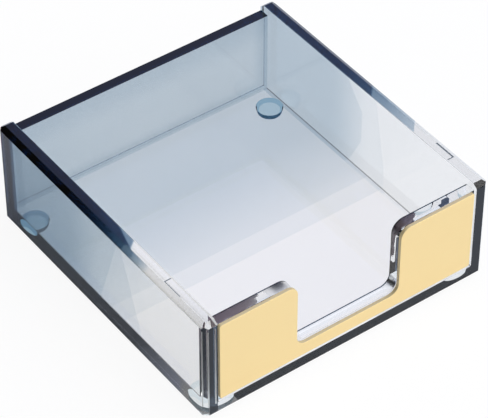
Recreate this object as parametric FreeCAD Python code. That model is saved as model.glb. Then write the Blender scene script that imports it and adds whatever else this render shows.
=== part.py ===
import FreeCAD, Part
import math
import os

# Open-topped memo pad holder made of clear plates.
# Two thick side walls stand outside a floor plate. A back wall and a front panel stand on the
# floor between them, a little lower than the side walls. The front panel has a finger notch, and
# a thin metal-coloured facing sheet of the same outline lies on its front. Four low round feet
# are stuck under the floor.
#
# Millimetres. X runs left to right along the front, Y from front to back, Z up.
# The origin is the middle of the footprint, on the surface the feet stand on.

# The pad and the room round it
pad_size = 76.2
pad_side_clearance = 1.9
pad_end_clearance = 3.6

# Plates
side_thickness = 4.0
side_height = 31.0
floor_thickness = 3.2
panel_thickness = 3.0
panel_top_drop = 2.1
back_wall_setback = 0.3
end_bevel = 1.25
top_bevel_width = 1.45
top_bevel_drop = 1.1

# Finger notch in the front panel
notch_width = 32.0
notch_depth = 20.6
notch_mouth_radius = 3.5
notch_floor_radius = 3.0

# Facing sheet on the front panel
facing_thickness = 1.0
facing_reveal = 0.6
facing_notch_drop = 0.5
facing_mouth_radius = 3.0
facing_corner_radius = 0.6

# Feet
foot_diameter = 7.6
foot_height = 2.0
foot_taper = 0.5
foot_rim_radius = 0.7
foot_side_inset = 7.0
foot_front_inset = 6.4
foot_rear_inset = 8.4

# Sizes that follow from the ones above
inner_width = pad_size + 2 * pad_side_clearance
inner_depth = pad_size + 2 * pad_end_clearance
tray_width = inner_width + 2 * side_thickness
front_build = panel_thickness + facing_thickness
rear_build = panel_thickness + back_wall_setback
tray_depth = inner_depth + front_build + rear_build
panel_height = side_height - panel_top_drop - floor_thickness

side_x = tray_width / 2
inner_x = inner_width / 2
front_y = -tray_depth / 2
rear_y = tray_depth / 2
panel_front_y = front_y + facing_thickness
back_wall_front_y = rear_y - rear_build
plates_z = foot_height
floor_top_z = plates_z + floor_thickness
side_top_z = plates_z + side_height
panel_top_z = floor_top_z + panel_height
notch_floor_z = panel_top_z - notch_depth


def point_toward(start, end, distance):
    # The point that lies a given distance from start on the line to end.
    direction = end.sub(start)
    direction.normalize()
    return start.add(direction.multiply(distance))


def rounded_outline(corners, radii):
    # A closed outline through the corners, each rounded by an arc that touches both of its lines.
    # A radius of zero leaves a corner sharp.
    count = len(corners)
    arcs = []
    for index in range(count):
        corner = corners[index]
        before = corners[index - 1]
        after = corners[(index + 1) % count]
        radius = radii[index]
        if radius == 0:
            arcs.append((corner, corner, corner))
            continue
        half_angle = before.sub(corner).getAngle(after.sub(corner)) / 2
        start = point_toward(corner, before, radius / math.tan(half_angle))
        end = point_toward(corner, after, radius / math.tan(half_angle))
        bisector_point = start.add(end).multiply(1 / 2)
        centre = point_toward(corner, bisector_point, radius / math.sin(half_angle))
        middle = point_toward(centre, corner, radius)
        arcs.append((start, middle, end))
    edges = []
    for index in range(count):
        start, middle, end = arcs[index]
        next_start = arcs[(index + 1) % count][0]
        if start.distanceToPoint(end) > 0:
            edges.append(Part.Arc(start, middle, end).toShape())
        edges.append(Part.makeLine(end, next_start))
    return Part.Wire(edges)


def block(low_x, high_x, low_y, high_y, low_z, high_z):
    # A plain rectangular plate between two opposite corners.
    corner = FreeCAD.Vector(low_x, low_y, low_z)
    return Part.makeBox(high_x - low_x, high_y - low_y, high_z - low_z, corner)


def edge_lies_on(edge, axis, value):
    # True if both ends of the edge are at the given coordinate along one axis.
    tolerance = end_bevel / 1000
    for vertex in edge.Vertexes:
        if abs(vertex.Point[axis] - value) > tolerance:
            return False
    return True


def side_wall(side):
    # A thick plate at the left (side -1) or right (side 1). Its outer top edge and the two ends
    # of its top have a bevel that is wider across the top than it is deep. The two upright
    # edges of its outer face have an even bevel. Its inner arris and its foot are left square.
    low_x = min(side * inner_x, side * side_x)
    high_x = max(side * inner_x, side * side_x)
    plate = block(low_x, high_x, front_y, rear_y, plates_z, side_top_z)
    upright = []
    for edge in plate.Edges:
        on_end = edge_lies_on(edge, 1, front_y) or edge_lies_on(edge, 1, rear_y)
        if on_end and edge_lies_on(edge, 0, side * side_x):
            upright.append(edge)
    plate = plate.makeChamfer(end_bevel, upright)
    for wedge in top_wedges(side):
        plate = plate.cut(wedge)
    return plate


def top_wedges(side):
    # The three corners to cut off the top of a side wall, one along its outer edge and one across
    # each end. Each is a triangle pushed along its edge.
    wedges = []
    corner = FreeCAD.Vector(side * side_x, front_y, side_top_z)
    inward = FreeCAD.Vector(-side * top_bevel_width, 0, 0)
    wedges.append(wedge_at(corner, inward, FreeCAD.Vector(0, tray_depth, 0)))
    for end_y, direction in ((front_y, 1), (rear_y, -1)):
        corner = FreeCAD.Vector(side * side_x, end_y, side_top_z)
        inward = FreeCAD.Vector(0, direction * top_bevel_width, 0)
        wedges.append(wedge_at(corner, inward, FreeCAD.Vector(-side * side_thickness, 0, 0)))
    return wedges


def wedge_at(corner, inward, along):
    # A three-sided wedge whose edge runs along a top edge of the plate.
    across = corner.add(inward)
    below = corner.add(FreeCAD.Vector(0, 0, -top_bevel_drop))
    return Part.Face(Part.makePolygon([corner, across, below, corner])).extrude(along)


def notched_sheet(rear_face_y, thickness, half_width, low_z, notch_z, outer_radius, mouth_radius):
    # An upright sheet seen from the front, with the finger notch let into its top edge. The
    # notch widens into a rounded mouth at the top and has rounded corners at its floor.
    half_notch = notch_width / 2
    corners_and_radii = [
        (-half_width, low_z, outer_radius),
        (half_width, low_z, outer_radius),
        (half_width, panel_top_z, outer_radius),
        (half_notch, panel_top_z, mouth_radius),
        (half_notch, notch_z, notch_floor_radius),
        (-half_notch, notch_z, notch_floor_radius),
        (-half_notch, panel_top_z, mouth_radius),
        (-half_width, panel_top_z, outer_radius),
    ]
    corners = [FreeCAD.Vector(x, rear_face_y, z) for x, z, radius in corners_and_radii]
    radii = [radius for x, z, radius in corners_and_radii]
    face = Part.Face(rounded_outline(corners, radii))
    return face.extrude(FreeCAD.Vector(0, -thickness, 0))


def foot(center_x, center_y):
    # A low clear foot: a disc that tapers downward and has a rounded lower rim.
    radius = foot_diameter / 2
    corners = [
        FreeCAD.Vector(0, 0, 0),
        FreeCAD.Vector(radius - foot_taper, 0, 0),
        FreeCAD.Vector(radius, 0, foot_height),
        FreeCAD.Vector(0, 0, foot_height),
    ]
    half_section = Part.Face(rounded_outline(corners, [0, foot_rim_radius, 0, 0]))
    solid = half_section.revolve(FreeCAD.Vector(0, 0, 0), FreeCAD.Vector(0, 0, 1), 360)
    solid.translate(FreeCAD.Vector(center_x, center_y, 0))
    return solid


parts = {}

# Floor plate, under the panels and between the side walls
parts["floor_plate"] = block(-inner_x, inner_x, front_y, rear_y, plates_z, floor_top_z)

# Side walls
parts["left_wall"] = side_wall(-1)
parts["right_wall"] = side_wall(1)

# Back wall
parts["back_wall"] = block(
    -inner_x, inner_x, back_wall_front_y, back_wall_front_y + panel_thickness, floor_top_z, panel_top_z
)

# Front panel with the finger notch
parts["front_panel"] = notched_sheet(
    panel_front_y + panel_thickness,
    panel_thickness,
    inner_x,
    floor_top_z,
    notch_floor_z,
    0,
    notch_mouth_radius,
)

# Facing sheet, a reveal narrower than the panel at the sides and the foot
parts["front_facing"] = notched_sheet(
    panel_front_y,
    facing_thickness,
    inner_x - facing_reveal,
    floor_top_z + facing_reveal,
    notch_floor_z - facing_notch_drop,
    facing_corner_radius,
    facing_mouth_radius,
)

# Feet
foot_x = side_x - foot_side_inset
parts["foot_front_left"] = foot(-foot_x, front_y + foot_front_inset)
parts["foot_front_right"] = foot(foot_x, front_y + foot_front_inset)
parts["foot_rear_left"] = foot(-foot_x, rear_y - foot_rear_inset)
parts["foot_rear_right"] = foot(foot_x, rear_y - foot_rear_inset)

os.makedirs("parts", exist_ok=True)
for name, shape in parts.items():
    solid = shape.Solids[0] if shape.ShapeType != "Solid" else shape
    solid.exportStep("parts/" + name + ".step")
    print(name, "volume", round(solid.Volume, 1), "valid", solid.isValid(), "closed", solid.isClosed())
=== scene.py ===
# %% [markdown]
# # A memo pad holder of clear plates
# This lesson dresses a small desk tray: five clear acrylic plates, a pale gold facing sheet and
# four clear feet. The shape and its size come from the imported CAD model, so the first step is to
# load that model. Everything later is placed from the boxes of its nodes.

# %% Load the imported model
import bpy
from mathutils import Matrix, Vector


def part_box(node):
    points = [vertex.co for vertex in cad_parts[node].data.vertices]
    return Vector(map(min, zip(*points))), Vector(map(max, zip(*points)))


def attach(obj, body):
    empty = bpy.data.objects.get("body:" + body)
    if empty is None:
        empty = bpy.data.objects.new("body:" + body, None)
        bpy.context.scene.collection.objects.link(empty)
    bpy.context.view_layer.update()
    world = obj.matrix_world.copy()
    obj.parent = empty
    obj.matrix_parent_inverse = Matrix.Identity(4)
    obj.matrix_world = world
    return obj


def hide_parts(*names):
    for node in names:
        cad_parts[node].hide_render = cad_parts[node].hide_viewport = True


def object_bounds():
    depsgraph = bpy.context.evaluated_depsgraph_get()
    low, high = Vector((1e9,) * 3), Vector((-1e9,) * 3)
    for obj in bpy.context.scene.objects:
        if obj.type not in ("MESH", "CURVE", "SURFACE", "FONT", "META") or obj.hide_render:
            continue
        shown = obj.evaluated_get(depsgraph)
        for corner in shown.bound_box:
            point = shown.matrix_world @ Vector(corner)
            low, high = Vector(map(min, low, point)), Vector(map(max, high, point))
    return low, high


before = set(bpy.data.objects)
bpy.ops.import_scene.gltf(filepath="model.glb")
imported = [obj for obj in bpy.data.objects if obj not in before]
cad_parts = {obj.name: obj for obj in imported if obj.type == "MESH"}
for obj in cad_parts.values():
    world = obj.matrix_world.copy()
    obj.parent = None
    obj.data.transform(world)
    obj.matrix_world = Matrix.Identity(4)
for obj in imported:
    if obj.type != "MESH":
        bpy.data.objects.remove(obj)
cad_low, cad_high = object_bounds()
print("CAD box in mm:", [round(1000 * v, 2) for v in (*cad_low, *cad_high)])

# %% [markdown]
# Node trees are written in code here, both for Geometry Nodes and for shaders. Two helpers keep
# that short. One makes a tree with named sockets, so that sizes can be read and changed in the
# Modifier panel. The other adds a node, and sets or links its inputs in the same line.

# %% Helpers for node trees
import math

import bmesh
import bpy
from mathutils import Matrix, Vector

MM = 0.001
GEOMETRY = "NodeSocketGeometry"
NUMBER = "NodeSocketFloat"
WHOLE = "NodeSocketInt"
VECTOR = "NodeSocketVector"
COLOUR = "NodeSocketColor"
MATERIAL = "NodeSocketMaterial"
WHITE = (1, 1, 1, 1)


def new_tree(name, kind, inputs, outputs):
    tree = bpy.data.node_groups.new(name, kind)
    for label, socket_type, value in inputs:
        socket = tree.interface.new_socket(label, in_out="INPUT", socket_type=socket_type)
        if value is not None:
            socket.default_value = value
    for label, socket_type in outputs:
        tree.interface.new_socket(label, in_out="OUTPUT", socket_type=socket_type)
    return tree, tree.nodes.new("NodeGroupInput"), tree.nodes.new("NodeGroupOutput")


def add(tree, kind, sockets=None, **settings):
    made = tree.nodes.new(kind)
    for name, value in settings.items():
        setattr(made, name, value)
    for name, value in (sockets or {}).items():
        if isinstance(value, bpy.types.NodeSocket):
            tree.links.new(value, made.inputs[name])
        else:
            made.inputs[name].default_value = value
    return made


print("units: metres, one millimetre is", MM)

# %% [markdown]
# Shaders and geometry rules both need plain sums. These helpers each return one output socket, so
# they can be nested like an ordinary formula.

# %% Helpers for sums
def maths(tree, operation, *values):
    return add(tree, "ShaderNodeMath", dict(enumerate(values)), operation=operation).outputs[0]


def chained(tree, operation, first, others):
    for other in others:
        first = maths(tree, operation, first, other)
    return first


def product(tree, first, *others):
    return chained(tree, "MULTIPLY", first, others)


def summed(tree, first, *others):
    return chained(tree, "ADD", first, others)


def largest(tree, first, *others):
    return chained(tree, "MAXIMUM", first, others)


def absolute(tree, value):
    return maths(tree, "ABSOLUTE", value)


def vector_maths(tree, operation, first, second):
    return add(tree, "ShaderNodeVectorMath", {0: first, 1: second}, operation=operation).outputs[0]


print("sums: maths, product, summed, largest, absolute, vector_maths")

# %% [markdown]
# The next helpers are the workhorses of the materials. They mark zones on a plate: each answers 1
# where a coordinate lies past, short of or between its limits, and 0 elsewhere. A product of such
# masks is a zone with all their limits, and a ramp is a mask with a soft edge. Either and blend
# then choose a number or a colour by a mask.

# %% Helpers for zones
def ramp(tree, value, start, stop, low=0.0, high=1.0, smooth=False):
    limits = {"Value": value, "From Min": start, "From Max": stop, "To Min": low, "To Max": high}
    kind = "SMOOTHSTEP" if smooth else "LINEAR"
    return add(tree, "ShaderNodeMapRange", limits, interpolation_type=kind).outputs[0]


def past(tree, value, limit):
    return maths(tree, "GREATER_THAN", value, limit)


def short_of(tree, value, limit):
    return maths(tree, "LESS_THAN", value, limit)


def between(tree, value, low, high):
    return product(tree, past(tree, value, low), short_of(tree, value, high))


def outside(tree, mask):
    return maths(tree, "SUBTRACT", 1.0, mask)


def either(tree, choice, when_not, when_so):
    sockets = {0: choice, 2: when_not, 3: when_so}
    return add(tree, "ShaderNodeMix", sockets, data_type="FLOAT").outputs[0]


def blend(tree, factor, first, second):
    sockets = {"Factor": factor, "A": first, "B": second}
    return add(tree, "ShaderNodeMix", sockets, data_type="RGBA").outputs["Result"]


print("zones: ramp, past, short_of, between, outside, either, blend")

# %% [markdown]
# The camera looks down on the open tray from its front left corner, with a long lens from about
# seventy centimetres. A long lens keeps the upright edges nearly parallel, which is how small
# goods are usually photographed. The camera's matrix is built from its three axes.

# %% Camera
camera = bpy.data.objects.new("camera", bpy.data.cameras.new("camera"))
bpy.context.scene.collection.objects.link(camera)
bpy.context.scene.camera = camera
camera_azimuth = math.radians(-36.33)
camera_elevation = math.radians(43.0)
toward_camera = Vector((
    math.sin(camera_azimuth) * math.cos(camera_elevation),
    -math.cos(camera_azimuth) * math.cos(camera_elevation),
    math.sin(camera_elevation),
))
right = Vector((math.cos(camera_azimuth), math.sin(camera_azimuth), 0))
up = toward_camera.cross(right)
aim = Vector((0, 0, 13.73))
distance, shift_right, shift_up = 684.3, 0.89, -0.33
camera_place = aim + distance * toward_camera + shift_right * right + shift_up * up
rotation = Matrix((right, up, toward_camera)).transposed().to_4x4()
camera.matrix_world = Matrix.Translation(camera_place * MM) @ rotation
camera.data.sensor_width = 36.0
camera.data.lens = 195.6
camera.data.clip_start = 0.01
camera.data.clip_end = 20.0
print("camera at", [round(v, 4) for v in camera.matrix_world.translation], "lens", camera.data.lens)

# %% [markdown]
# The tray stands on plain white. Clear acrylic is seen mostly by what is behind it, so the white
# has to reach the camera through the plates too. The Light Path node tells the floor who is
# looking: the camera sees white with the tray's soft shadow, a ray that came through a plate
# finds a nearly full white, and a ray mirrored off the front of the tray a cooler one.

# %% Studio floor
reach = 3.0
floor_level = cad_low.z - 0.02 * MM
ring = ((-reach, -reach), (reach, -reach), (reach, reach), (-reach, reach))
floor_corners = [(x, y, floor_level) for x, y in ring]
floor_mesh = bpy.data.meshes.new("studio_floor")
floor_mesh.from_pydata(floor_corners, [], [(0, 1, 2, 3)])
studio_floor = bpy.data.objects.new("studio_floor", floor_mesh)
bpy.context.scene.collection.objects.link(studio_floor)

floor_paint = bpy.data.materials.new("studio_white")
floor_paint.use_nodes = True
tree = floor_paint.node_tree
tree.nodes.clear()
path = add(tree, "ShaderNodeLightPath").outputs
spot = add(tree, "ShaderNodeSeparateXYZ", {0: add(tree, "ShaderNodeTexCoord").outputs["Object"]})
paint_colour = blend(tree, path["Is Camera Ray"], (0.70, 0.74, 0.81, 1), WHITE)
paint = add(tree, "ShaderNodeBsdfDiffuse", {"Color": paint_colour})
front_start, front_full = -40 * MM, -58 * MM
in_front = ramp(tree, spot.outputs["Y"], front_start, front_full)
surface = paint.outputs[0]
for colour, weight in (
    (WHITE, product(tree, path["Is Camera Ray"], 0.90)),
    ((0.975, 0.965, 0.972, 1), product(tree, path["Is Transmission Ray"], 0.85)),
    ((0.72, 0.80, 0.96, 1), product(tree, path["Is Glossy Ray"], in_front)),
):
    glow = add(tree, "ShaderNodeEmission", {"Color": colour, "Strength": 1.0})
    surface = add(tree, "ShaderNodeMixShader", {0: weight, 1: surface, 2: glow.outputs[0]}).outputs[0]
add(tree, "ShaderNodeOutputMaterial", {"Surface": surface})
floor_mesh.materials.append(floor_paint)
print("floor at", round(1000 * floor_level, 2), "mm")

# %% [markdown]
# The light is one very large soft source, high in front and to the right. It is painted into the
# world as a glow round one direction, so that no lamp has to be seen in the plates. A second,
# weaker and bluer patch lies behind the tray: the polished top edges mirror it, and it gives them
# their navy tone. The camera itself sees a white backdrop.

# %% World
def glow_round(tree, direction, centre, start):
    sockets = {0: direction, 1: centre.normalized()}
    towards = add(tree, "ShaderNodeVectorMath", sockets, operation="DOT_PRODUCT")
    return ramp(tree, towards.outputs["Value"], start, 1.0, smooth=start > 0)


world = bpy.data.worlds.new("studio")
world.use_nodes = True
tree = world.node_tree
tree.nodes.clear()
sky = add(tree, "ShaderNodeTexCoord").outputs["Generated"]
front_glow = glow_round(tree, sky, Vector((0.45, -0.65, 0.61)), -0.4)
rear_glow = glow_round(tree, sky, Vector((0.43, 0.59, 0.68)), 0.75)
falloff, front_strength, rear_strength, dimmest = 2.2, 2.2, 0.50, 0.05
front_shape = maths(tree, "POWER", front_glow, falloff)
front_level = maths(tree, "MULTIPLY_ADD", front_shape, front_strength, dimmest)
level = maths(tree, "MULTIPLY_ADD", rear_glow, rear_strength, front_level)
sky_colour = blend(tree, rear_glow, WHITE, (0.50, 0.57, 0.97, 1))
sky_light = add(tree, "ShaderNodeBackground", {"Color": sky_colour, "Strength": level})
backdrop = add(tree, "ShaderNodeBackground", {"Color": WHITE, "Strength": 1.0})
seen = add(tree, "ShaderNodeLightPath").outputs["Is Camera Ray"]
mixed = add(tree, "ShaderNodeMixShader", {0: seen, 1: sky_light.outputs[0], 2: backdrop.outputs[0]})
add(tree, "ShaderNodeOutputWorld", {"Surface": mixed.outputs[0]})
bpy.context.scene.world = world
bpy.context.scene.view_settings.view_transform = "Standard"
print("world:", world.name, "view:", bpy.context.scene.view_settings.view_transform)

# %% [markdown]
# Three small rules make every plate. The first is a box between two corners. It serves the floor
# and the back wall as it is, and it is the building stone of the side walls.

# %% Geometry Nodes: box between corners
box_rule, start, end = new_tree(
    "Box between corners", "GeometryNodeTree",
    [("Low", VECTOR, None), ("High", VECTOR, None)], [("Mesh", GEOMETRY)],
)
size = vector_maths(box_rule, "SUBTRACT", start.outputs["High"], start.outputs["Low"])
total = vector_maths(box_rule, "ADD", start.outputs["High"], start.outputs["Low"])
centre = add(box_rule, "ShaderNodeVectorMath", {0: total, "Scale": 0.5}, operation="SCALE")
cube = add(box_rule, "GeometryNodeMeshCube", {"Size": size})
sockets = {"Geometry": cube.outputs["Mesh"], "Translation": centre.outputs[0]}
placed = add(box_rule, "GeometryNodeTransform", sockets)
box_rule.links.new(placed.outputs[0], end.inputs[0])
print("rule:", box_rule.name)

# %% [markdown]
# The second rule is a side wall. Its outer upright edges are bevelled evenly, and its top edges
# have a flatter bevel, wider across the top than it is deep. A Bevel modifier makes both sides of
# a bevel equal, so it can't cut the flatter ones. But chamfers are flat cuts, so the wall can be a
# skin stretched over a few boxes: each box is pulled in where a bevel runs past it, and the convex
# hull closes the sloping faces between them.

# %% Geometry Nodes: bevelled side wall
end_bevel, bevel_across, bevel_down = 1.25 * MM, 1.45 * MM, 1.1 * MM
bevel_inputs = [
    ("End Bevel", NUMBER, end_bevel), ("Top Bevel Across", NUMBER, bevel_across),
    ("Top Bevel Down", NUMBER, bevel_down),
]
wall_rule, start, end = new_tree(
    "Bevelled side wall", "GeometryNodeTree",
    [("Low", VECTOR, None), ("High", VECTOR, None), ("Side", NUMBER, 1.0), *bevel_inputs],
    [("Mesh", GEOMETRY)],
)


def outer_offsets(distance):
    signed = product(wall_rule, start.outputs["Side"], distance)
    negated = product(wall_rule, signed, -1.0)
    return largest(wall_rule, negated, 0.0), largest(wall_rule, signed, 0.0)


bevel, across, down = (start.outputs[name] for name, kind, value in bevel_inputs)
half = product(wall_rule, bevel, 0.5)
left_over = outside(wall_rule, maths(wall_rule, "DIVIDE", half, across))
corner_down = product(wall_rule, down, left_over)
low_end, high_end = outer_offsets(bevel)
low_across, high_across = outer_offsets(across)
low_half, high_half = outer_offsets(half)
skin = add(wall_rule, "GeometryNodeJoinGeometry")
for low_inset, high_inset in (
    ((None, bevel, None), (None, bevel, down)),
    ((low_end, None, None), (high_end, None, down)),
    ((low_across, across, None), (high_across, across, None)),
    ((low_half, half, None), (high_half, half, corner_down)),
):
    corners = []
    for inset, label, sign in ((low_inset, "Low", "ADD"), (high_inset, "High", "SUBTRACT")):
        sockets = {axis: value for axis, value in zip("XYZ", inset) if value is not None}
        offset = add(wall_rule, "ShaderNodeCombineXYZ", sockets).outputs[0]
        corners.append(vector_maths(wall_rule, sign, start.outputs[label], offset))
    sockets = {"Low": corners[0], "High": corners[1]}
    slab = add(wall_rule, "GeometryNodeGroup", sockets, node_tree=box_rule)
    wall_rule.links.new(slab.outputs[0], skin.inputs[0])
hull = add(wall_rule, "GeometryNodeConvexHull", {0: skin.outputs[0]})
wall_rule.links.new(hull.outputs[0], end.inputs[0])
print("rule:", wall_rule.name)

# %% [markdown]
# The third rule is a sheet with the finger notch. It takes a flat outline whose corners carry
# their own radius, rounds them with Fillet Curve, fills the curve, gives it a thickness and
# stands it up. A notch could also be cut out of a box, but then each rounding would be a cut of
# its own. The panel and the gold facing both use this rule.

# %% Geometry Nodes: notched sheet
weld_distance = 0.001 * MM


def merged(tree, geometry):
    sockets = {"Geometry": geometry, "Distance": weld_distance}
    return add(tree, "GeometryNodeMergeByDistance", sockets).outputs[0]


sheet_rule, start, end = new_tree(
    "Notched sheet", "GeometryNodeTree",
    [("Outline", GEOMETRY, None), ("Thickness", NUMBER, 3 * MM), ("Rear Y", NUMBER, 0.0),
     ("Arc Points", WHOLE, 20)],
    [("Mesh", GEOMETRY)],
)
line = add(sheet_rule, "GeometryNodeMeshToCurve", {"Mesh": start.outputs["Outline"]})
radius = add(
    sheet_rule, "GeometryNodeInputNamedAttribute", {"Name": "corner_radius"}, data_type="FLOAT"
)
rounded = add(
    sheet_rule, "GeometryNodeFilletCurve",
    {"Curve": line.outputs[0], "Radius": radius.outputs["Attribute"],
     "Count": start.outputs["Arc Points"]}, mode="POLY",
)
filled = add(sheet_rule, "GeometryNodeFillCurve", {"Curve": rounded.outputs[0]}, mode="NGONS")
flat = merged(sheet_rule, filled.outputs[0])
offset = add(sheet_rule, "ShaderNodeCombineXYZ", {"Z": start.outputs["Thickness"]})
raised = add(
    sheet_rule, "GeometryNodeExtrudeMesh",
    {"Mesh": flat, "Offset": offset.outputs[0], "Individual": False}, mode="FACES",
)
back_face = add(sheet_rule, "GeometryNodeFlipFaces", {0: flat})
both = add(sheet_rule, "GeometryNodeJoinGeometry")
sheet_rule.links.new(raised.outputs[0], both.inputs[0])
sheet_rule.links.new(back_face.outputs[0], both.inputs[0])
closed = merged(sheet_rule, both.outputs[0])
rear = add(sheet_rule, "ShaderNodeCombineXYZ", {"Y": start.outputs["Rear Y"]})
stood_up = add(
    sheet_rule, "GeometryNodeTransform",
    {"Geometry": closed, "Translation": rear.outputs[0], "Rotation": (math.pi / 2, 0, 0)},
)
sheet_rule.links.new(stood_up.outputs[0], end.inputs[0])
print("rule:", sheet_rule.name)

# %% [markdown]
# The plates of the real tray are welded with solvent, so light crosses the joints as if the
# acrylic were one piece. Five separate closed shells would show mirror-like seams inside, so one
# tree lets the plates overlap a little at the joints and unites them to one skin.

# %% Geometry Nodes: the welded tray
tray_inputs = [("Outline", GEOMETRY, None)]
for name in ("Floor", "Back", "Left", "Right"):
    tray_inputs += [(name + " Low", VECTOR, None), (name + " High", VECTOR, None)]
tray_inputs += bevel_inputs + [
    ("Panel Thickness", NUMBER, 3.0 * MM), ("Panel Rear Y", NUMBER, 0.0),
    ("Arc Points", WHOLE, 20), ("Material", MATERIAL, None),
]
tray_rule, start, end = new_tree("Welded tray", "GeometryNodeTree", tray_inputs, [("Mesh", GEOMETRY)])
weld = add(tray_rule, "GeometryNodeMeshBoolean", operation="UNION", solver="EXACT")


def use_rule(tree, rule, wiring, start_node):
    used = add(tree, "GeometryNodeGroup", node_tree=rule)
    for theirs, ours in wiring.items():
        tree.links.new(start_node.outputs[ours], used.inputs[theirs])
    return used


def dress(tree, mesh, start_node, end_node):
    real = add(tree, "GeometryNodeRealizeInstances", {0: mesh})
    sockets = {"Geometry": real.outputs[0], "Material": start_node.outputs["Material"]}
    dressed = add(tree, "GeometryNodeSetMaterial", sockets)
    tree.links.new(dressed.outputs[0], end_node.inputs[0])


bevels = {label: label for label, kind, value in bevel_inputs}
for name, rule, side in (
    ("Floor", box_rule, 0), ("Back", box_rule, 0), ("Left", wall_rule, -1), ("Right", wall_rule, 1)
):
    wiring = {"Low": name + " Low", "High": name + " High", **(bevels if side else {})}
    plate = use_rule(tray_rule, rule, wiring, start)
    if side:
        plate.inputs["Side"].default_value = side
    tray_rule.links.new(plate.outputs[0], weld.inputs["Mesh 2"])
wiring = {
    "Outline": "Outline", "Thickness": "Panel Thickness", "Rear Y": "Panel Rear Y",
    "Arc Points": "Arc Points",
}
panel = use_rule(tray_rule, sheet_rule, wiring, start)
tray_rule.links.new(panel.outputs[0], weld.inputs["Mesh 2"])
dress(tray_rule, weld.outputs[0], start, end)
print("tray inputs:", len(tray_inputs))

# %% [markdown]
# The outline of a notched sheet is eight corners. The mesh holds them flat, as X and height, and
# an attribute holds the radius of each. The gold sheet uses the same corners, a little narrower,
# and a little lower at the notch.

# %% Outline meshes
notch_half_width = 16.0 * MM
notch_floor_radius = 3.0 * MM


def outline_object(name, half_width, low_z, high_z, notch_z, outer_radius, mouth_radius):
    corners = [
        (-half_width, low_z, outer_radius), (half_width, low_z, outer_radius),
        (half_width, high_z, outer_radius), (notch_half_width, high_z, mouth_radius),
        (notch_half_width, notch_z, notch_floor_radius),
        (-notch_half_width, notch_z, notch_floor_radius),
        (-notch_half_width, high_z, mouth_radius), (-half_width, high_z, outer_radius),
    ]
    mesh = bpy.data.meshes.new(name)
    ring = [(index, (index + 1) % len(corners)) for index in range(len(corners))]
    mesh.from_pydata([(x, z, 0) for x, z, r in corners], ring, [])
    radii = mesh.attributes.new("corner_radius", "FLOAT", "POINT")
    radii.data.foreach_set("value", [r for x, z, r in corners])
    made = bpy.data.objects.new(name, mesh)
    bpy.context.scene.collection.objects.link(made)
    return made


print("notch width in mm:", 2000 * notch_half_width)

# %% [markdown]
# A piece is finished by baking: the modifier runs once, its result becomes a plain mesh, and the
# modifier goes. A small Bevel modifier may follow the rule first. No real edge is perfectly sharp,
# and a fine rounding is what catches the light along an arris. The report counts open edges,
# because glass only refracts properly inside a closed skin.

# %% Helpers for baking and checking
def set_inputs(modifier, values):
    items = modifier.node_group.interface.items_tree
    identifiers = {item.name: item.identifier for item in items if item.in_out == "INPUT"}
    for label, value in values.items():
        modifier[identifiers[label]] = value


def baked(made, rule, values, edge=0.0):
    modifier = made.modifiers.new("rule", "NODES")
    modifier.node_group = rule
    set_inputs(modifier, values)
    if edge:
        rounding = made.modifiers.new("edges", "BEVEL")
        rounding.width = edge
        rounding.segments = 2
        rounding.limit_method = "ANGLE"
        rounding.angle_limit = math.radians(35)
    evaluated = made.evaluated_get(bpy.context.evaluated_depsgraph_get())
    mesh = bpy.data.meshes.new_from_object(evaluated)
    made.modifiers.clear()
    made.data = mesh
    return made


def report(made):
    check = bmesh.new()
    check.from_mesh(made.data)
    open_edges = sum(1 for edge in check.edges if not edge.is_manifold)
    heights = [vertex.co.z / MM for vertex in check.verts]
    volume = round(check.calc_volume() / MM**3, 1)
    print(made.name, "faces", len(check.faces), "open edges", open_edges, "volume mm3", volume,
          "z", round(min(heights), 2), "to", round(max(heights), 2))
    check.free()


# %% [markdown]
# The tray is baked with the boxes of its five plates. Two small offsets are worked in on purpose.
# The plates run a little into each other, so that the weld has something to unite. And the panel
# stays a hair behind the gold sheet, so that it keeps its own polished front face.

# %% The acrylic tray
overlap = 0.6 * MM
glue_line = 0.03 * MM
side_overlap = Vector((overlap, 0, 0))
foot_overlap = Vector((0, 0, overlap))
plate_names = ("floor_plate", "left_wall", "right_wall", "back_wall", "front_panel")
plates = {name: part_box(name) for name in plate_names}
panel_low, panel_high = plates["front_panel"]
floor_low, floor_high = plates["floor_plate"]
back_low, back_high = plates["back_wall"]
notch_depth = 20.6 * MM
notch_floor_z = panel_high.z - notch_depth
panel_mouth_radius = 3.5 * MM
plate_rounding = 0.12 * MM
acrylic = bpy.data.materials.new("tinted_acrylic")
tray = outline_object(
    "acrylic_tray", panel_high.x + overlap, panel_low.z - overlap, panel_high.z,
    notch_floor_z, 0.0, panel_mouth_radius,
)
baked(tray, tray_rule, {
    "Floor Low": floor_low - side_overlap, "Floor High": floor_high + side_overlap,
    "Back Low": back_low - side_overlap - foot_overlap, "Back High": back_high + side_overlap,
    "Left Low": plates["left_wall"][0], "Left High": plates["left_wall"][1],
    "Right Low": plates["right_wall"][0], "Right High": plates["right_wall"][1],
    "Panel Thickness": panel_high.y - panel_low.y - glue_line, "Panel Rear Y": panel_high.y,
    "Material": acrylic,
}, edge=plate_rounding)
report(tray)

# %% [markdown]
# The facing is a thin sheet of the same outline, laid on the front of the panel. It could be a
# second material on the panel's front, but the real one is a sheet of its own: it is a little
# smaller and shows its rim. Its tree only dresses the notched sheet with its metal finish.

# %% The gold facing
facing_low, facing_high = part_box("front_facing")
facing_rule, start, end = new_tree(
    "Facing sheet", "GeometryNodeTree",
    [("Outline", GEOMETRY, None), ("Thickness", NUMBER, 1 * MM), ("Rear Y", NUMBER, 0.0),
     ("Arc Points", WHOLE, 20), ("Material", MATERIAL, None)],
    [("Mesh", GEOMETRY)],
)
labels = ("Outline", "Thickness", "Rear Y", "Arc Points")
cut = use_rule(facing_rule, sheet_rule, {label: label for label in labels}, start)
dress(facing_rule, cut.outputs[0], start, end)

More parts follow.
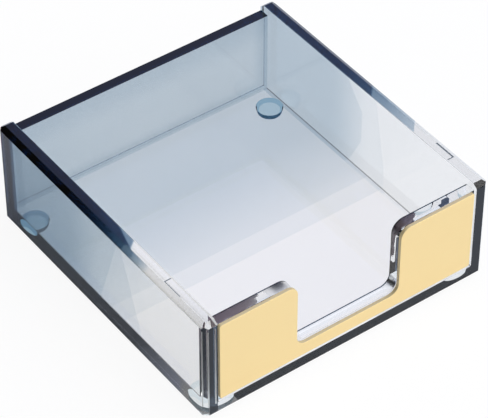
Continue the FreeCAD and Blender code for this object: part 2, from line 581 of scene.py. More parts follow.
gold = bpy.data.materials.new("pale_gold")
facing_notch_drop = 0.5 * MM
facing_corner_radius = 0.6 * MM
facing_mouth_radius = 3.0 * MM
facing_rounding = 0.1 * MM
facing = outline_object(
    "gold_facing", facing_high.x, facing_low.z, facing_high.z,
    notch_floor_z - facing_notch_drop, facing_corner_radius, facing_mouth_radius,
)
baked(facing, facing_rule, {
    "Thickness": facing_high.y - facing_low.y, "Rear Y": facing_high.y, "Material": gold,
}, edge=facing_rounding)
report(facing)

# %% [markdown]
# A foot is a turned shape: half its section, swept round a circle. The section starts at the
# axis, runs out along the bottom, rounds the lower rim and climbs the tapering side. A Screw
# modifier could turn it too, but here one tree shapes the foot and repeats it: Instance on Points
# sets one under each corner.

# %% Geometry Nodes: feet on points
feet_rule, start, end = new_tree(
    "Feet on points", "GeometryNodeTree",
    [("Points", GEOMETRY, None), ("Radius", NUMBER, 3.8 * MM), ("Height", NUMBER, 2 * MM),
     ("Taper", NUMBER, 0.5 * MM), ("Rim Radius", NUMBER, 0.7 * MM), ("Round Steps", WHOLE, 64),
     ("Material", MATERIAL, None)],
    [("Mesh", GEOMETRY)],
)
top_radius, height = start.outputs["Radius"], start.outputs["Height"]
bottom_radius = maths(feet_rule, "SUBTRACT", top_radius, start.outputs["Taper"])
section_points = {
    "Point 1": (0, 0, 0),
    "Point 2": add(feet_rule, "ShaderNodeCombineXYZ", {"X": bottom_radius}).outputs[0],
    "Point 3": add(feet_rule, "ShaderNodeCombineXYZ", {"X": top_radius, "Y": height}).outputs[0],
    "Point 4": add(feet_rule, "ShaderNodeCombineXYZ", {"Y": height}).outputs[0],
}
corners = add(feet_rule, "GeometryNodeCurvePrimitiveQuadrilateral", section_points, mode="POINTS")
section = add(feet_rule, "GeometryNodeSetSplineCyclic", {0: corners.outputs[0], "Cyclic": False})
index = add(feet_rule, "GeometryNodeInputIndex").outputs[0]
second = add(feet_rule, "FunctionNodeCompare", {"A": index, "B": 1}, data_type="INT", operation="EQUAL")
rim = product(feet_rule, second.outputs[0], start.outputs["Rim Radius"])
eased = add(
    feet_rule, "GeometryNodeFilletCurve",
    {"Curve": section.outputs[0], "Radius": rim, "Count": 8}, mode="POLY",
)
inward = add(feet_rule, "ShaderNodeCombineXYZ", {"X": product(feet_rule, top_radius, -1.0)})
profile = add(
    feet_rule, "GeometryNodeTransform",
    {"Geometry": eased.outputs[0], "Translation": inward.outputs[0]},
)
circle = add(
    feet_rule, "GeometryNodeCurvePrimitiveCircle",
    {"Resolution": start.outputs["Round Steps"], "Radius": top_radius},
)
turned = add(
    feet_rule, "GeometryNodeCurveToMesh",
    {"Curve": circle.outputs[0], "Profile Curve": profile.outputs[0]},
)
closed = merged(feet_rule, turned.outputs[0])
whole = add(
    feet_rule, "GeometryNodeTransform", {"Geometry": closed, "Rotation": (math.pi, 0, 0)}
)
spread = add(
    feet_rule, "GeometryNodeInstanceOnPoints",
    {"Points": start.outputs["Points"], "Instance": whole.outputs[0]},
)
dress(feet_rule, spread.outputs[0], start, end)
print("rule:", feet_rule.name)

# %% [markdown]
# The points are the centres of the four feet, read from their boxes. The feet end a hair below
# the plate, so that the two skins never share a surface.

# %% The feet
feet_names = ["foot_front_left", "foot_front_right", "foot_rear_left", "foot_rear_right"]
foot_boxes = [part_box(name) for name in feet_names]
foot_low, foot_high = foot_boxes[0]
foot_radius = (foot_high.x - foot_low.x) / 2
foot_centres = [((low.x + high.x) / 2, (low.y + high.y) / 2, low.z) for low, high in foot_boxes]
foot_clear = bpy.data.materials.new("clear_foot")
feet_mesh = bpy.data.meshes.new("feet")
feet_mesh.from_pydata(foot_centres, [], [])
feet = bpy.data.objects.new("feet", feet_mesh)
bpy.context.scene.collection.objects.link(feet)
foot_gap = 0.01 * MM
baked(feet, feet_rule, {
    "Radius": foot_radius, "Height": foot_high.z - foot_low.z - foot_gap, "Material": foot_clear,
})
report(feet)

# %% [markdown]
# Now the finishes. On the real tray the acrylic is graduated: smoky blue at the back and clear in
# front. Zones on the plates decide most of the look, and they start at the plates' own faces. So
# their limits are worked out here from the boxes of the model. They lie a trace off the faces,
# because a limit exactly on a face would leave it to chance on which side that face falls.

# %% Limits of the zones
trace = 0.05 * MM
wall_start = floor_high.x - 2 * trace
wall_middle = (plates["right_wall"][0].x + plates["right_wall"][1].x) / 2
wall_bevel_z = plates["left_wall"][1].z - bevel_down
past_inner_face = floor_high.x + 3 * trace
above_floor = floor_high.z + trace
back_start = back_low.y - 0.55 * MM
front_end_y = floor_low.y + 1.3 * MM
outer_left = 0.1 * MM - plates["right_wall"][1].x
limits = {"walls from": wall_start, "their middle": wall_middle, "top bevel from": wall_bevel_z}
print("zones in mm:", {name: round(value / MM, 2) for name, value in limits.items()})

# %% [markdown]
# The change from blue to clear comes in soft slopes with two crisp edges. A shader node group
# answers how much tint a point has. The slopes fill the plates right through. The crisp edges are
# painted reflections, and they stay where they are when the view changes. They lie on the faces
# turned to the left or up, because an edge painted on both faces of a plate would be seen twice.
# The slopes are a function, because the inside of the acrylic uses them again.

# %% Shader group: graduated tint
floor_fade = (-2.8 * MM, 22 * MM, 0.02, 0.56)
wall_fade = (-2 * MM, 17 * MM, 0.02, 0.57)
tint_rule, start, end = new_tree(
    "Graduated tint", "ShaderNodeTree",
    [("Position", VECTOR, None), ("Inner X", NUMBER, wall_start),
     ("Middle X", NUMBER, wall_middle), ("Floor Top Z", NUMBER, floor_high.z),
     ("Blur", NUMBER, 0.2 * MM)],
    [("Share", NUMBER), ("Painted Reflections", NUMBER)],
)
x, y, z = add(tint_rule, "ShaderNodeSeparateXYZ", {0: start.outputs["Position"]}).outputs
in_wall = past(tint_rule, absolute(tint_rule, x), start.outputs["Inner X"])
blur = start.outputs["Blur"]


def tint_slope(tree, depth, in_side_wall):
    on_floor = ramp(tree, depth, *floor_fade)
    on_wall = ramp(tree, depth, *wall_fade, smooth=True)
    return either(tree, in_side_wall, on_floor, on_wall)


def reflected_edge(along, edge, amount):
    beyond = maths(tint_rule, "SUBTRACT", along, edge)
    soft_edge = ramp(tint_rule, beyond, maths(tint_rule, "MULTIPLY", blur, -1.0), blur)
    return product(tint_rule, soft_edge, amount)


def slanted(height, start_z, slope, start_y):
    climb = maths(tint_rule, "SUBTRACT", height, start_z)
    shift = largest(tint_rule, maths(tint_rule, "MULTIPLY", climb, slope), 0.0)
    return maths(tint_rule, "ADD", shift, start_y)


tint_rule.links.new(tint_slope(tint_rule, y, in_wall), end.inputs["Share"])
print("group:", tint_rule.name)

# %% [markdown]
# The crisp edges, which are painted reflections, run straight across the floor and bend a little
# up the walls. Each has a place along Y and an amount. On the floor a faint darker frame is a
# painted reflection of the back wall and the right wall in the polished top.

# %% Painted reflections: crisp edges of the tint
frame_x, frame_y, frame_reflection_amount = 21 * MM, 19.3 * MM, 0.14
side_frame_reflection = product(tint_rule, past(tint_rule, x, frame_x), ramp(tint_rule, y, -3 * MM, 4 * MM))
wall_frame_reflection = largest(tint_rule, side_frame_reflection, past(tint_rule, y, frame_y))
floor_reflections = summed(
    tint_rule, reflected_edge(y, -8.9 * MM, 0.44), reflected_edge(y, -2.8 * MM, 0.39),
    product(tint_rule, wall_frame_reflection, frame_reflection_amount),
)
over_top = maths(tint_rule, "ADD", start.outputs["Floor Top Z"], 2 * trace)
inside_floor = 4 * MM
on_floor_top = between(tint_rule, z, inside_floor, over_top)
floor_reflections = product(tint_rule, floor_reflections, on_floor_top, outside(tint_rule, in_wall))

right_first = summed(
    tint_rule, slanted(z, 25 * MM, 0.8, 0.7 * MM), slanted(z, 15 * MM, -0.5, 0.0)
)
right_second = slanted(z, 12 * MM, 0.2, -9.1 * MM)
right_reflections = summed(tint_rule, reflected_edge(y, right_first, 0.60), reflected_edge(y, right_second, 0.30))
left_first = maths(tint_rule, "MULTIPLY_ADD", z, -0.34, 2.2 * MM)
left_second = maths(tint_rule, "MULTIPLY_ADD", z, 0.34, -21.3 * MM)
left_reflections = summed(tint_rule, reflected_edge(y, left_first, 0.60), reflected_edge(y, left_second, 0.54))
wall_reflections = either(tint_rule, past(tint_rule, x, 0.0), left_reflections, right_reflections)

middle = start.outputs["Middle X"]
left_outer_half = short_of(tint_rule, x, maths(tint_rule, "MULTIPLY", middle, -1.0))
right_inner_half = between(tint_rule, x, 0.0, middle)
facing_left = largest(tint_rule, left_outer_half, right_inner_half)
wall_reflections = product(tint_rule, wall_reflections, facing_left, in_wall)
tint_rule.links.new(summed(tint_rule, floor_reflections, wall_reflections), end.inputs["Painted Reflections"])
print("tint outputs:", [socket.name for socket in end.inputs if socket.name])

# %% [markdown]
# Coloured glass darkens by a power law: twice the path gives the square of the colour. This group
# does that sum, so one amount is enough to say how deep a face is coloured. The acrylic and the
# feet both use it.

# %% Shader group: depth of colour
depth_rule, start, end = new_tree(
    "Depth of colour", "ShaderNodeTree",
    [("Tint", COLOUR, (0.64, 0.715, 0.776, 1)), ("Amount", NUMBER, 1.0)], [("Colour", COLOUR)],
)
channels = add(depth_rule, "ShaderNodeSeparateColor", {0: start.outputs["Tint"]}).outputs
raised = [maths(depth_rule, "POWER", channel, start.outputs["Amount"]) for channel in channels]
joined = add(depth_rule, "ShaderNodeCombineColor", dict(enumerate(raised)))
depth_rule.links.new(joined.outputs[0], end.inputs[0])
print("group:", depth_rule.name)

# %% [markdown]
# The feet are stuck on, and where a foot touches the plate there is no air between them. A round
# mask turns off both skins there. Without it each foot would show a mirror-like disc. The four
# feet lie in two rows, so one distance to the nearer row and to the nearer side serves them all.

# %% Shader group: foot contact
contact_rule, start, end = new_tree(
    "Foot contact", "ShaderNodeTree",
    [("Position", VECTOR, None), ("Foot X", NUMBER, abs(foot_centres[0][0])),
     ("Front Y", NUMBER, foot_centres[0][1]), ("Rear Y", NUMBER, foot_centres[2][1]),
     ("Radius", NUMBER, foot_radius - 0.02 * MM), ("Level", NUMBER, foot_high.z)],
    [("Open", NUMBER)],
)
x, y, z = add(contact_rule, "ShaderNodeSeparateXYZ", {0: start.outputs["Position"]}).outputs


def gap_to(value, label):
    return absolute(contact_rule, maths(contact_rule, "SUBTRACT", value, start.outputs[label]))


to_nearer_row = maths(contact_rule, "MINIMUM", gap_to(y, "Front Y"), gap_to(y, "Rear Y"))
to_foot_x = gap_to(absolute(contact_rule, x), "Foot X")
flat_gap = add(contact_rule, "ShaderNodeCombineXYZ", {"X": to_foot_x, "Y": to_nearer_row}).outputs[0]
to_foot = add(contact_rule, "ShaderNodeVectorMath", {0: flat_gap}, operation="LENGTH")
inside = short_of(contact_rule, to_foot.outputs["Value"], start.outputs["Radius"])
touching = product(contact_rule, inside, short_of(contact_rule, gap_to(z, "Level"), 0.02 * MM))
contact_rule.links.new(outside(contact_rule, touching), end.inputs[0])
print("group:", contact_rule.name)

# %% [markdown]
# No handled surface is perfectly even. This group gives every finish its small life: thin wiping
# marks from a stretched noise, and broad smudges from a slow one. The stretch decides whether the
# marks run along the piece like brushing or lie as short scratches.

# %% Shader group: fine wear
wear_rule, start, end = new_tree(
    "Fine wear", "ShaderNodeTree",
    [("Position", VECTOR, None), ("Stretch", VECTOR, (200.0, 1500.0, 1500.0)),
     ("Smudge Scale", NUMBER, 60.0)],
    [("Marks", NUMBER), ("Smudges", NUMBER)],
)
stretched = vector_maths(wear_rule, "MULTIPLY", start.outputs["Position"], start.outputs["Stretch"])
marks = add(wear_rule, "ShaderNodeTexNoise", {"Vector": stretched, "Scale": 1.0, "Detail": 3.0})
smudges = add(wear_rule, "ShaderNodeTexNoise", {
    "Vector": start.outputs["Position"], "Scale": start.outputs["Smudge Scale"], "Detail": 2.0,
})
wear_rule.links.new(marks.outputs[0], end.inputs["Marks"])
centred = maths(wear_rule, "SUBTRACT", smudges.outputs[0], 0.5)
wear_rule.links.new(centred, end.inputs["Smudges"])
print("group:", wear_rule.name)

# %% [markdown]
# Every material starts by asking where a point lies on its piece and which way the surface faces
# there. Object coordinates answer the first. They move with the piece, and the pattern with them.

# %% Helper for places and normals
def surface_point(tree):
    coordinates = add(tree, "ShaderNodeTexCoord").outputs
    place = add(tree, "ShaderNodeSeparateXYZ", {0: coordinates["Object"]}).outputs
    normal = add(tree, "ShaderNodeSeparateXYZ", {0: coordinates["Normal"]}).outputs
    return coordinates["Object"], place, normal


def placed_group(tree, group, sockets):
    return add(tree, "ShaderNodeGroup", sockets, node_tree=group).outputs


print("groups to place:", [group.name for group in (tint_rule, depth_rule, contact_rule, wear_rule)])

# %% [markdown]
# The acrylic material starts with the tint of its faces. The floor is the thinnest plate and
# takes a little less, the back wall a little more. The back wall also darkens softly toward its
# foot, its top and both ends, where light is lost at the joints. The side walls get a share that
# grows toward the rear on the left and stays even on the right.

# %% Acrylic: tint of the faces
acrylic.use_nodes = True
tree = acrylic.node_tree
tree.nodes.clear()
object_place, (x, y, z), normal = surface_point(tree)
tint = placed_group(tree, tint_rule, {"Position": object_place})
wear = placed_group(tree, wear_rule, {"Position": object_place})
share = tint["Share"]
sideways = absolute(tree, x)
on_right = past(tree, x, 0.0)
in_wall = past(tree, sideways, wall_start)
between_walls = short_of(tree, sideways, wall_start)
in_floor = product(tree, short_of(tree, z, above_floor), between_walls)
in_back = product(tree, past(tree, y, back_start), past(tree, z, above_floor), between_walls)

floor_less, back_more, smudge_depth = -0.22, 0.45, 0.35
base_amount = product(tree, share, maths(tree, "MULTIPLY_ADD", in_floor, floor_less, 1.0))
foot_shade = ramp(tree, z, 5.2 * MM, 11 * MM, 1.0, 0.0, smooth=True)
top_shade = ramp(tree, z, 20 * MM, 31 * MM, 0.0, 0.7, smooth=True)
right_shade = ramp(tree, x, 34 * MM, 40 * MM, smooth=True)
left_shade = ramp(tree, x, -12 * MM, -36 * MM, 0.0, 0.25, smooth=True)
joint_shade = summed(tree, largest(tree, foot_shade, right_shade), top_shade, left_shade)
on_back_front = product(tree, in_back, short_of(tree, y, back_low.y + 3 * trace))
back_shade = product(tree, on_back_front, joint_shade)
back_amount = maths(tree, "MULTIPLY_ADD", in_back, back_more, back_shade)
left_clear = ramp(tree, y, 8 * MM, 42 * MM, 0.05, 0.5)
wall_amount = product(tree, in_wall, either(tree, on_right, left_clear, 0.2))
smudged = product(tree, wear["Smudges"], share, smudge_depth)
face_amount = summed(tree, base_amount, back_amount, tint["Painted Reflections"], wall_amount, smudged)
print("faces: tint", [round(v, 3) for v in depth_rule.interface.items_tree["Tint"].default_value[:3]])

# %% [markdown]
# Seen along its length a plate looks far darker than through its face, so the narrow top edges
# get a painted navy shade. Where the tint ends, the dark breaks off in steps, which are painted
# reflections, and they differ from side to side and from the flat top to the bevel. Each list gives
# a start, an end and an amount of tint, with the places in millimetres along Y. A slant lets a step
# cross the edge at an angle.

# %% Acrylic: painted shade steps along the narrow edges
past_middle = maths(tree, "SUBTRACT", sideways, wall_middle)


def steps(value, amounts):
    darkness = 0.0
    for begin, finish, amount in amounts:
        step = product(tree, ramp(tree, value, begin * MM, finish * MM), amount)
        darkness = maths(tree, "ADD", darkness, step)
    return darkness


def slanted_steps(slant, amounts):
    return steps(maths(tree, "MULTIPLY_ADD", past_middle, slant, y), amounts)


left_flat = summed(
    tree,
    slanted_steps(0.8, [(-12.5, -11.8, 7.0)]),
    slanted_steps(3.5, [(-11.6, -9.6, 13.0), (-6, 8, 9.0)]),
)
left_bevel = steps(y, [(-21, -15.5, 5.2), (-14.8, -13.8, 3.5), (-10.8, -10.2, 5.2), (-8, 10, 14.0)])
left_top_shade = either(tree, past(tree, past_middle, 0.55 * MM), left_flat, left_bevel)
right_top_shade = slanted_steps(-1.1, [(-18.2, -17.8, 3.1), (-17, -6, 2.3), (-1, 0, 8.8), (4, 14, 5.3)])
wall_top_shade_and_marks = either(tree, on_right, left_top_shade, right_top_shade)
print("edge steps: left flat 3, left bevel 4, right 4")

# %% [markdown]
# Near its front, the flat top of each side wall has a fine mark, such as a saw leaves: a line along
# the plate with a short tick across it. The line is less than half a millimetre wide, so a mask
# draws it, and it is as dark as the steps.

# %% Acrylic: saw marks
mark_ends = (-33.4 * MM, -26.7 * MM)
tick_ends = (40.4 * MM, 42.4 * MM)
tick_width = 0.3 * MM
mark_depth = 6.0


def saw_mark(line_start, line_stop, tick_y):
    line_x = between(tree, sideways, line_start, line_stop)
    line = product(tree, line_x, between(tree, y, *mark_ends))
    tick_span = between(tree, y, tick_y, tick_y + tick_width)
    tick = product(tree, tick_span, between(tree, sideways, *tick_ends))
    return largest(tree, line, tick)


left_mark = saw_mark(42.22 * MM, 42.42 * MM, -27.0 * MM)
right_mark = saw_mark(41.95 * MM, 42.4 * MM, -33.5 * MM)
saw_marks = either(tree, on_right, left_mark, right_mark)
wall_top_shade_and_marks = maths(tree, "MULTIPLY_ADD", saw_marks, mark_depth, wall_top_shade_and_marks)
print("saw marks: one on each wall,", round((mark_ends[1] - mark_ends[0]) / MM, 1), "mm long")

# %% [markdown]
# Some narrow faces get painted shade all along: the top of the back wall, and the rear end of the
# left wall down to the small step behind the back wall. Light reaches them only after it has run
# the whole length of a plate. Three masks mark them, and a fourth marks where the steps above apply.

# %% Acrylic: faces in painted shade throughout
edge_shade_depth = 27.0
on_wall_top = product(
    tree, past(tree, sideways, past_inner_face), past(tree, z, wall_bevel_z - trace)
)
on_back_top = product(tree, in_back, past(tree, z, back_high.z - 2 * trace))
on_left_end = product(
    tree, short_of(tree, x, -past_inner_face), past(tree, y, floor_high.y - 1.29 * MM)
)
behind_back = product(
    tree, short_of(tree, x, -wall_start), past(tree, y, back_high.y - 0.02 * MM)
)
shaded_throughout = largest(tree, on_back_top, on_left_end, behind_back)
print("dark throughout: back top, left rear end")

# %% [markdown]
# Solvent cement runs out of a joint as a fine bead and dries in the inner corner. It is far too
# thin to model, so a mask darkens a line on the floor beside the side walls and, more weakly,
# one in front of the back wall.

# %% Acrylic: cement in the joints
bead_start, bead_stop = floor_high.x - 0.25 * MM, floor_high.x + 0.02 * MM
bead_foot = floor_high.z - 0.1 * MM
beside_wall = product(
    tree, between(tree, sideways, bead_start, bead_stop),
    between(tree, z, bead_foot, floor_high.z + 0.2 * MM),
)
before_back = product(
    tree, between(tree, y, back_low.y - 0.35 * MM, back_low.y + 0.15 * MM),
    between(tree, z, bead_foot, floor_high.z + 0.4 * MM), between_walls,
)
joint_amount = maths(tree, "MULTIPLY_ADD", beside_wall, 0.6, product(tree, before_back, 0.5))
print("joint bead in mm:", round((bead_stop - bead_start) / MM, 2))

# %% [markdown]
# The cut edges of the front panel get a painted shade along the rear arris, which draws the
# outline of the notch. The front ends of the side walls get a smoky painted shade. Three narrow
# strips along the arrises of the left one stand for glints, where the arris catches the light.
# They stay out of the painted shade here, and the polish further on frosts them.

# %% Acrylic: painted shade on arrises and front ends
arris_width = 0.36 * MM
glint_strips = ((-44.1, -43.75), (-42.95, -42.6), (-40.9, -40.5))
panel_depth = between(tree, y, panel_high.y - 3 * MM, panel_high.y + 2 * trace)
in_panel = product(tree, panel_depth, between_walls)
on_cut_edge = short_of(tree, absolute(tree, normal["Y"]), 0.5)
arris = product(
    tree, in_panel, past(tree, y, panel_high.y - arris_width), on_cut_edge, past(tree, z, 5.4 * MM)
)
strips = [between(tree, x, low_x * MM, high_x * MM) for low_x, high_x in glint_strips]
glint_arris = product(
    tree, largest(tree, *strips), short_of(tree, y, front_end_y), between(tree, z, 5 * MM, 31 * MM)
)
front_end_shade = product(
    tree, between(tree, x, -42.6 * MM, 44.1 * MM), past(tree, sideways, past_inner_face),
    short_of(tree, y, front_end_y + trace), outside(tree, glint_arris),
)
print("arris in mm:", arris_width / MM, "glint strips:", len(strips))

# %% [markdown]
# Two accents of painted light lie on the outer face of the left wall. A line of painted shade
# stands upright just before the back wall. And the real plate looks navy behind that line, and
# along its foot except above the rear foot. Refraction alone gives a neutral grey there, so a mask
# lays the navy over it as a painted reflection. Each pair of places is where a soft edge begins
# and where it is complete.

# %% Acrylic: painted shade and reflection on the left wall
on_outer_left = short_of(tree, x, outer_left)
line_front, line_rear = (38.3 * MM, 38.6 * MM), (42.0 * MM, 41.4 * MM)
rear_corner_shade = product(tree, ramp(tree, y, *line_front), ramp(tree, y, *line_rear), on_outer_left)
strip_top, strip_front = (7.6 * MM, 7.1 * MM), (-37 * MM, -34 * MM)
over_rear_foot = between(tree, y, 29 * MM, 38 * MM)
along_foot = product(
    tree, ramp(tree, z, *strip_top), ramp(tree, y, *strip_front), outside(tree, over_rear_foot)
)
behind_line = past(tree, y, line_front[1])
navy_reflection_strip = product(tree, largest(tree, along_foot, behind_line), on_outer_left)
print("accents: rear corner line, navy foot strip")

# %% [markdown]
# Now the zones come together. First their amounts of tint are added up, and the Depth of colour
# group turns the sum into a colour. Then each zone may lay its own tone over the ones before it.
# A list of zones and tones keeps that order easy to read and to change.

# %% Acrylic: colour of the surface
arris_shade_depth, end_shade_depth, corner_shade_depth = 12.0, 6.0, 7.0
line_amount = summed(
    tree, product(tree, arris, arris_shade_depth), product(tree, front_end_shade, end_shade_depth),
    product(tree, rear_corner_shade, corner_shade_depth),
)
face_total = summed(tree, face_amount, joint_amount, line_amount)
amount = either(tree, on_wall_top, face_total, wall_top_shade_and_marks)
amount = either(tree, shaded_throughout, amount, edge_shade_depth)
coloured = placed_group(tree, depth_rule, {"Amount": amount})
# The left wall's tone is a painted shade: it is greyer and warmer than the right wall, on the side away
# from the light. The back wall is toned a little greyer. In the list, the navy strip is a painted
# reflection, and the rear corner line, the front ends and the rear arris are painted shade; the cement
# line and the saw marks are the tray's own colour.
left_wall_shade_tone, mark_tone = (0.955, 0.95, 0.905, 1), (0.35, 0.26, 0.20, 1)
tone = blend(tree, in_wall, WHITE, blend(tree, on_right, left_wall_shade_tone, WHITE))
for zone, zone_tone in (
    (in_back, (0.945, 0.94, 0.935, 1)),
    (beside_wall, (0.34, 0.31, 0.30, 1)),
    (navy_reflection_strip, (0.58, 0.66, 1.0, 1)),
    (rear_corner_shade, (0.35, 0.35, 0.38, 1)),
    (front_end_shade, (0.05, 0.045, 0.05, 1)),
    (arris, (0.40, 0.28, 0.20, 1)),
    (on_wall_top, blend(tree, saw_marks, WHITE, mark_tone)),
):
    tone = blend(tree, zone, tone, zone_tone)
surface_colour = vector_maths(tree, "MULTIPLY", coloured["Colour"], tone)
print("surface colour: tint times tone")

# %% [markdown]
# The gold sheet is held by two pads of adhesive. Where a pad wets the panel, the polished face
# stops mirroring and the dark pad shows through the cut edges of the acrylic. The pads have torn
# outlines, so a slow noise moves their limits in and out. Each pad is given in millimetres by its
# left and right limit along X and by its lower and upper one along Z.

# %% Acrylic: adhesive pads
left_pad_limits = (-42, -23, 17, 33)
right_pad_limits = (14, 26, 15, 33)
tear = 3 * MM
noise = add(tree, "ShaderNodeTexNoise", {"Vector": object_place, "Scale": 420.0, "Detail": 2.0})
ragged = product(tree, maths(tree, "SUBTRACT", noise.outputs[0], 0.5), tear)


def pad_mask(low_x, high_x, low_z, high_z):
    nearest = None
    for coordinate, low, high in ((x, low_x, high_x), (z, low_z, high_z)):
        from_low = maths(tree, "SUBTRACT", coordinate, low * MM)
        to_high = maths(tree, "SUBTRACT", high * MM, coordinate)
        inset = maths(tree, "MINIMUM", from_low, to_high)
        nearest = inset if nearest is None else maths(tree, "MINIMUM", nearest, inset)
    return ramp(tree, maths(tree, "ADD", nearest, ragged), 0.0, 0.5 * MM)


pads = largest(tree, pad_mask(*left_pad_limits), pad_mask(*right_pad_limits))
to_panel_front = maths(tree, "SUBTRACT", y, panel_low.y + glue_line)
on_panel_front = short_of(tree, absolute(tree, to_panel_front), 0.01 * MM)
dry = outside(tree, product(tree, pads, on_panel_front))
print("pads: two, torn by up to", tear / 2 / MM, "mm")

# %% [markdown]
# Polished faces stay smooth but for faint wiping marks. The rounded corners of the notch are a
# little hazy, as a cutter leaves them, and the glint strips are fully frosted. Alpha takes the
# skin away where the feet and the pads touch it. It also thins the skin a little at the front of
# the lower left edge, which is lighter on the real tray.

# %% Acrylic: polish
wiped = ramp(tree, wear["Marks"], 0.66, 0.78, 0.0, 0.02)
notch_corner = product(
    tree, in_panel, on_cut_edge, past(tree, sideways, 13.4 * MM), between(tree, z, 10 * MM, 13.6 * MM)
)
notch_lip = product(
    tree, in_panel, on_cut_edge, between(tree, x, -24 * MM, -15.5 * MM), past(tree, z, 27 * MM)
)
hazy = product(tree, largest(tree, notch_corner, notch_lip), 0.3)
roughness = largest(tree, wiped, hazy, glint_arris)
lower_left_edge = product(
    tree, short_of(tree, x, -34 * MM), short_of(tree, z, floor_low.z + trace)
)
thinned = product(tree, lower_left_edge, ramp(tree, y, -14 * MM, -36 * MM, 0.0, 0.2))
contact = placed_group(tree, contact_rule, {"Position": object_place})
openness = product(tree, contact["Open"], dry, outside(tree, thinned))
print("polish: hazy notch corners, frosted glint strips")

# %% [markdown]
# The shader itself is clear glass with the index of acrylic. Inside, a volume absorbs light, so
# long paths through a plate come out darker than short ones, and the plates look solid. Its
# density follows the same slopes as the tint. They are worked out again in this tree, because the
# tint group serves only the surface, whose colours can be baked to an image.

# %% Acrylic: shader
full_density = 200.0 / 3
back_density = 0.42
glass = add(tree, "ShaderNodeBsdfPrincipled", {
    "Base Color": surface_colour, "Roughness": roughness, "IOR": 1.49,
    "Transmission Weight": 1.0, "Alpha": openness,
})
inner_share = maths(tree, "MULTIPLY_ADD", in_back, back_density, tint_slope(tree, y, in_wall))
absorbed = add(tree, "ShaderNodeVolumeAbsorption", {
    "Color": (0.325, 0.5, 0.62, 1), "Density": product(tree, inner_share, full_density),
})
outputs = {"Surface": glass.outputs[0], "Volume": absorbed.outputs[0]}
add(tree, "ShaderNodeOutputMaterial", outputs)
print("acrylic nodes:", len(tree.nodes))

# %% [markdown]
# The facing is satin gold. Fine horizontal brushing comes from the wear group, stretched along X:
# it varies the roughness and lifts the surface by a trace. The cut rim is darker than the front.

# %% Gold: front and rim
gold.use_nodes = True
tree = gold.node_tree
shine = tree.nodes["Principled BSDF"]
object_place, (x, y, z), normal = surface_point(tree)
brushing = placed_group(
    tree, wear_rule, {"Position": object_place, "Stretch": (90.0, 900.0, 5000.0)}
)
grain = ramp(tree, brushing["Marks"], 0.3, 0.7)
front_colour = blend(tree, grain, (1.0, 0.738, 0.338, 1), (1.0, 0.758, 0.352, 1))
on_rim = short_of(tree, absolute(tree, normal["Y"]), 0.8)
sheet_colour = blend(tree, on_rim, front_colour, (0.70, 0.57, 0.32, 1))
satin = ramp(tree, grain, 0.0, 1.0, 0.38, 0.46)
lift = add(tree, "ShaderNodeBump", {"Height": grain, "Strength": 0.06, "Distance": 0.02 * MM})
tree.links.new(satin, shine.inputs["Roughness"])
tree.links.new(lift.outputs[0], shine.inputs["Normal"])
shine.inputs["Metallic"].default_value = 0.4
print("gold: satin, grain along X")

# %% [markdown]
# The back of the facing shows the adhesive to whoever looks through the panel. The left pad is
# purple-brown and paler toward the notch. The right one is flecked, dark where the adhesive wets
# the acrylic and paler where air lies between. Beside the pads the bare back is a warm grey.

# %% Gold: adhesive on the back
purple_brown, worn_brown = (0.31, 0.20, 0.22, 1), (0.48, 0.40, 0.38, 1)
wetted, aired = (0.13, 0.055, 0.085, 1), (0.38, 0.30, 0.33, 1)
left_bare, right_bare = (0.66, 0.63, 0.60, 1), (0.62, 0.58, 0.55, 1)
left_pad = blend(tree, ramp(tree, x, -34 * MM, -20 * MM), purple_brown, worn_brown)
left_back = blend(tree, ramp(tree, x, -26 * MM, -23 * MM), left_pad, left_bare)
flecks = add(tree, "ShaderNodeTexNoise", {"Vector": object_place, "Scale": 1500.0, "Detail": 2.0})
wetting = ramp(tree, flecks.outputs[0], 0.46, 0.66)
right_pad = blend(tree, wetting, wetted, aired)
right_back = blend(tree, ramp(tree, x, 25.5 * MM, 28.5 * MM), right_pad, right_bare)
back_tone = blend(tree, past(tree, x, 0.0), left_back, right_back)
on_back = past(tree, y, facing_high.y - 0.02 * MM)
tree.links.new(blend(tree, on_back, sheet_colour, back_tone), shine.inputs["Base Color"])
print("gold nodes:", len(tree.nodes))

# %% [markdown]
# The feet are soft clear plastic. They bend light much less here than glass would, because a
# stuck foot is seen through the plate and not through air. The rear feet are cool blue and the
# front ones nearly clear. The left ones are deeper than the right, a painted shade on the side away
# from the light. Light that enters by the side or leaves by the far rim is coloured more, a painted
# shade which draws a ring round each foot.

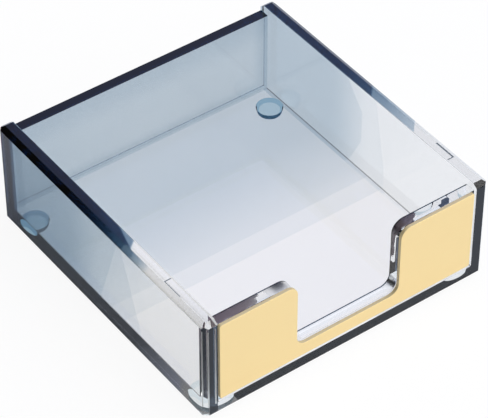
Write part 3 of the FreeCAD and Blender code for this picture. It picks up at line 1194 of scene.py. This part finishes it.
# %% Feet: tint
foot_clear.use_nodes = True
tree = foot_clear.node_tree
tree.nodes.clear()
object_place, (x, y, z), normal = surface_point(tree)
leaving = add(tree, "ShaderNodeNewGeometry").outputs["Backfacing"]
upright = absolute(tree, normal["Z"])
on_side = product(tree, short_of(tree, upright, 0.8), outside(tree, leaving))
far_rim_shade = product(tree, short_of(tree, upright, 0.97), leaving)
front_amount, rear_amount = 0.2, 1.35
rear_share = ramp(tree, y, -20 * MM, 20 * MM, front_amount, rear_amount)
left_feet_shade = either(tree, past(tree, x, 0.0), 1.6, 1.0)
ring = summed(tree, maths(tree, "MULTIPLY_ADD", on_side, 3.5, 1.0), far_rim_shade)
foot_tint = placed_group(tree, depth_rule, {
    "Tint": blend(tree, on_side, (0.50, 0.67, 0.77, 1), (0.44, 0.56, 0.62, 1)),
    "Amount": product(tree, rear_share, left_feet_shade, ring),
})
print("feet: tint from", front_amount, "in front to", rear_amount, "at the rear")

# %% [markdown]
# The feet share two of the groups with the acrylic. The contact mask opens their top, where they
# are stuck to the plate, and the wear makes them a little dull in places, as soft plastic gets.

# %% Feet: shader
foot_wear = placed_group(tree, wear_rule, {"Position": object_place})
contact = placed_group(tree, contact_rule, {"Position": object_place})
soft = add(tree, "ShaderNodeBsdfPrincipled", {
    "Base Color": foot_tint["Colour"],
    "Roughness": ramp(tree, foot_wear["Marks"], 0.4, 0.8, 0.0, 0.08),
    "IOR": 1.01, "Transmission Weight": 1.0, "Alpha": contact["Open"],
})
add(tree, "ShaderNodeOutputMaterial", {"Surface": soft.outputs[0]})
print("feet: clear, IOR", round(soft.inputs["IOR"].default_value, 2))

# %% [markdown]
# Each piece now takes the place of the CAD nodes that it dresses, which are hidden. All of them
# ride on the root, because nothing in this holder moves.

# %% Put the pieces in place of the CAD nodes
for piece, nodes, slot_name in (
    (tray, list(plates), "tinted_acrylic"),
    (facing, ["front_facing"], "pale_gold"),
    (feet, feet_names, "clear_foot"),
):
    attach(piece, "root")
    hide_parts(*nodes)
    print(piece.name, "stands for", len(nodes), "nodes in slot", slot_name)
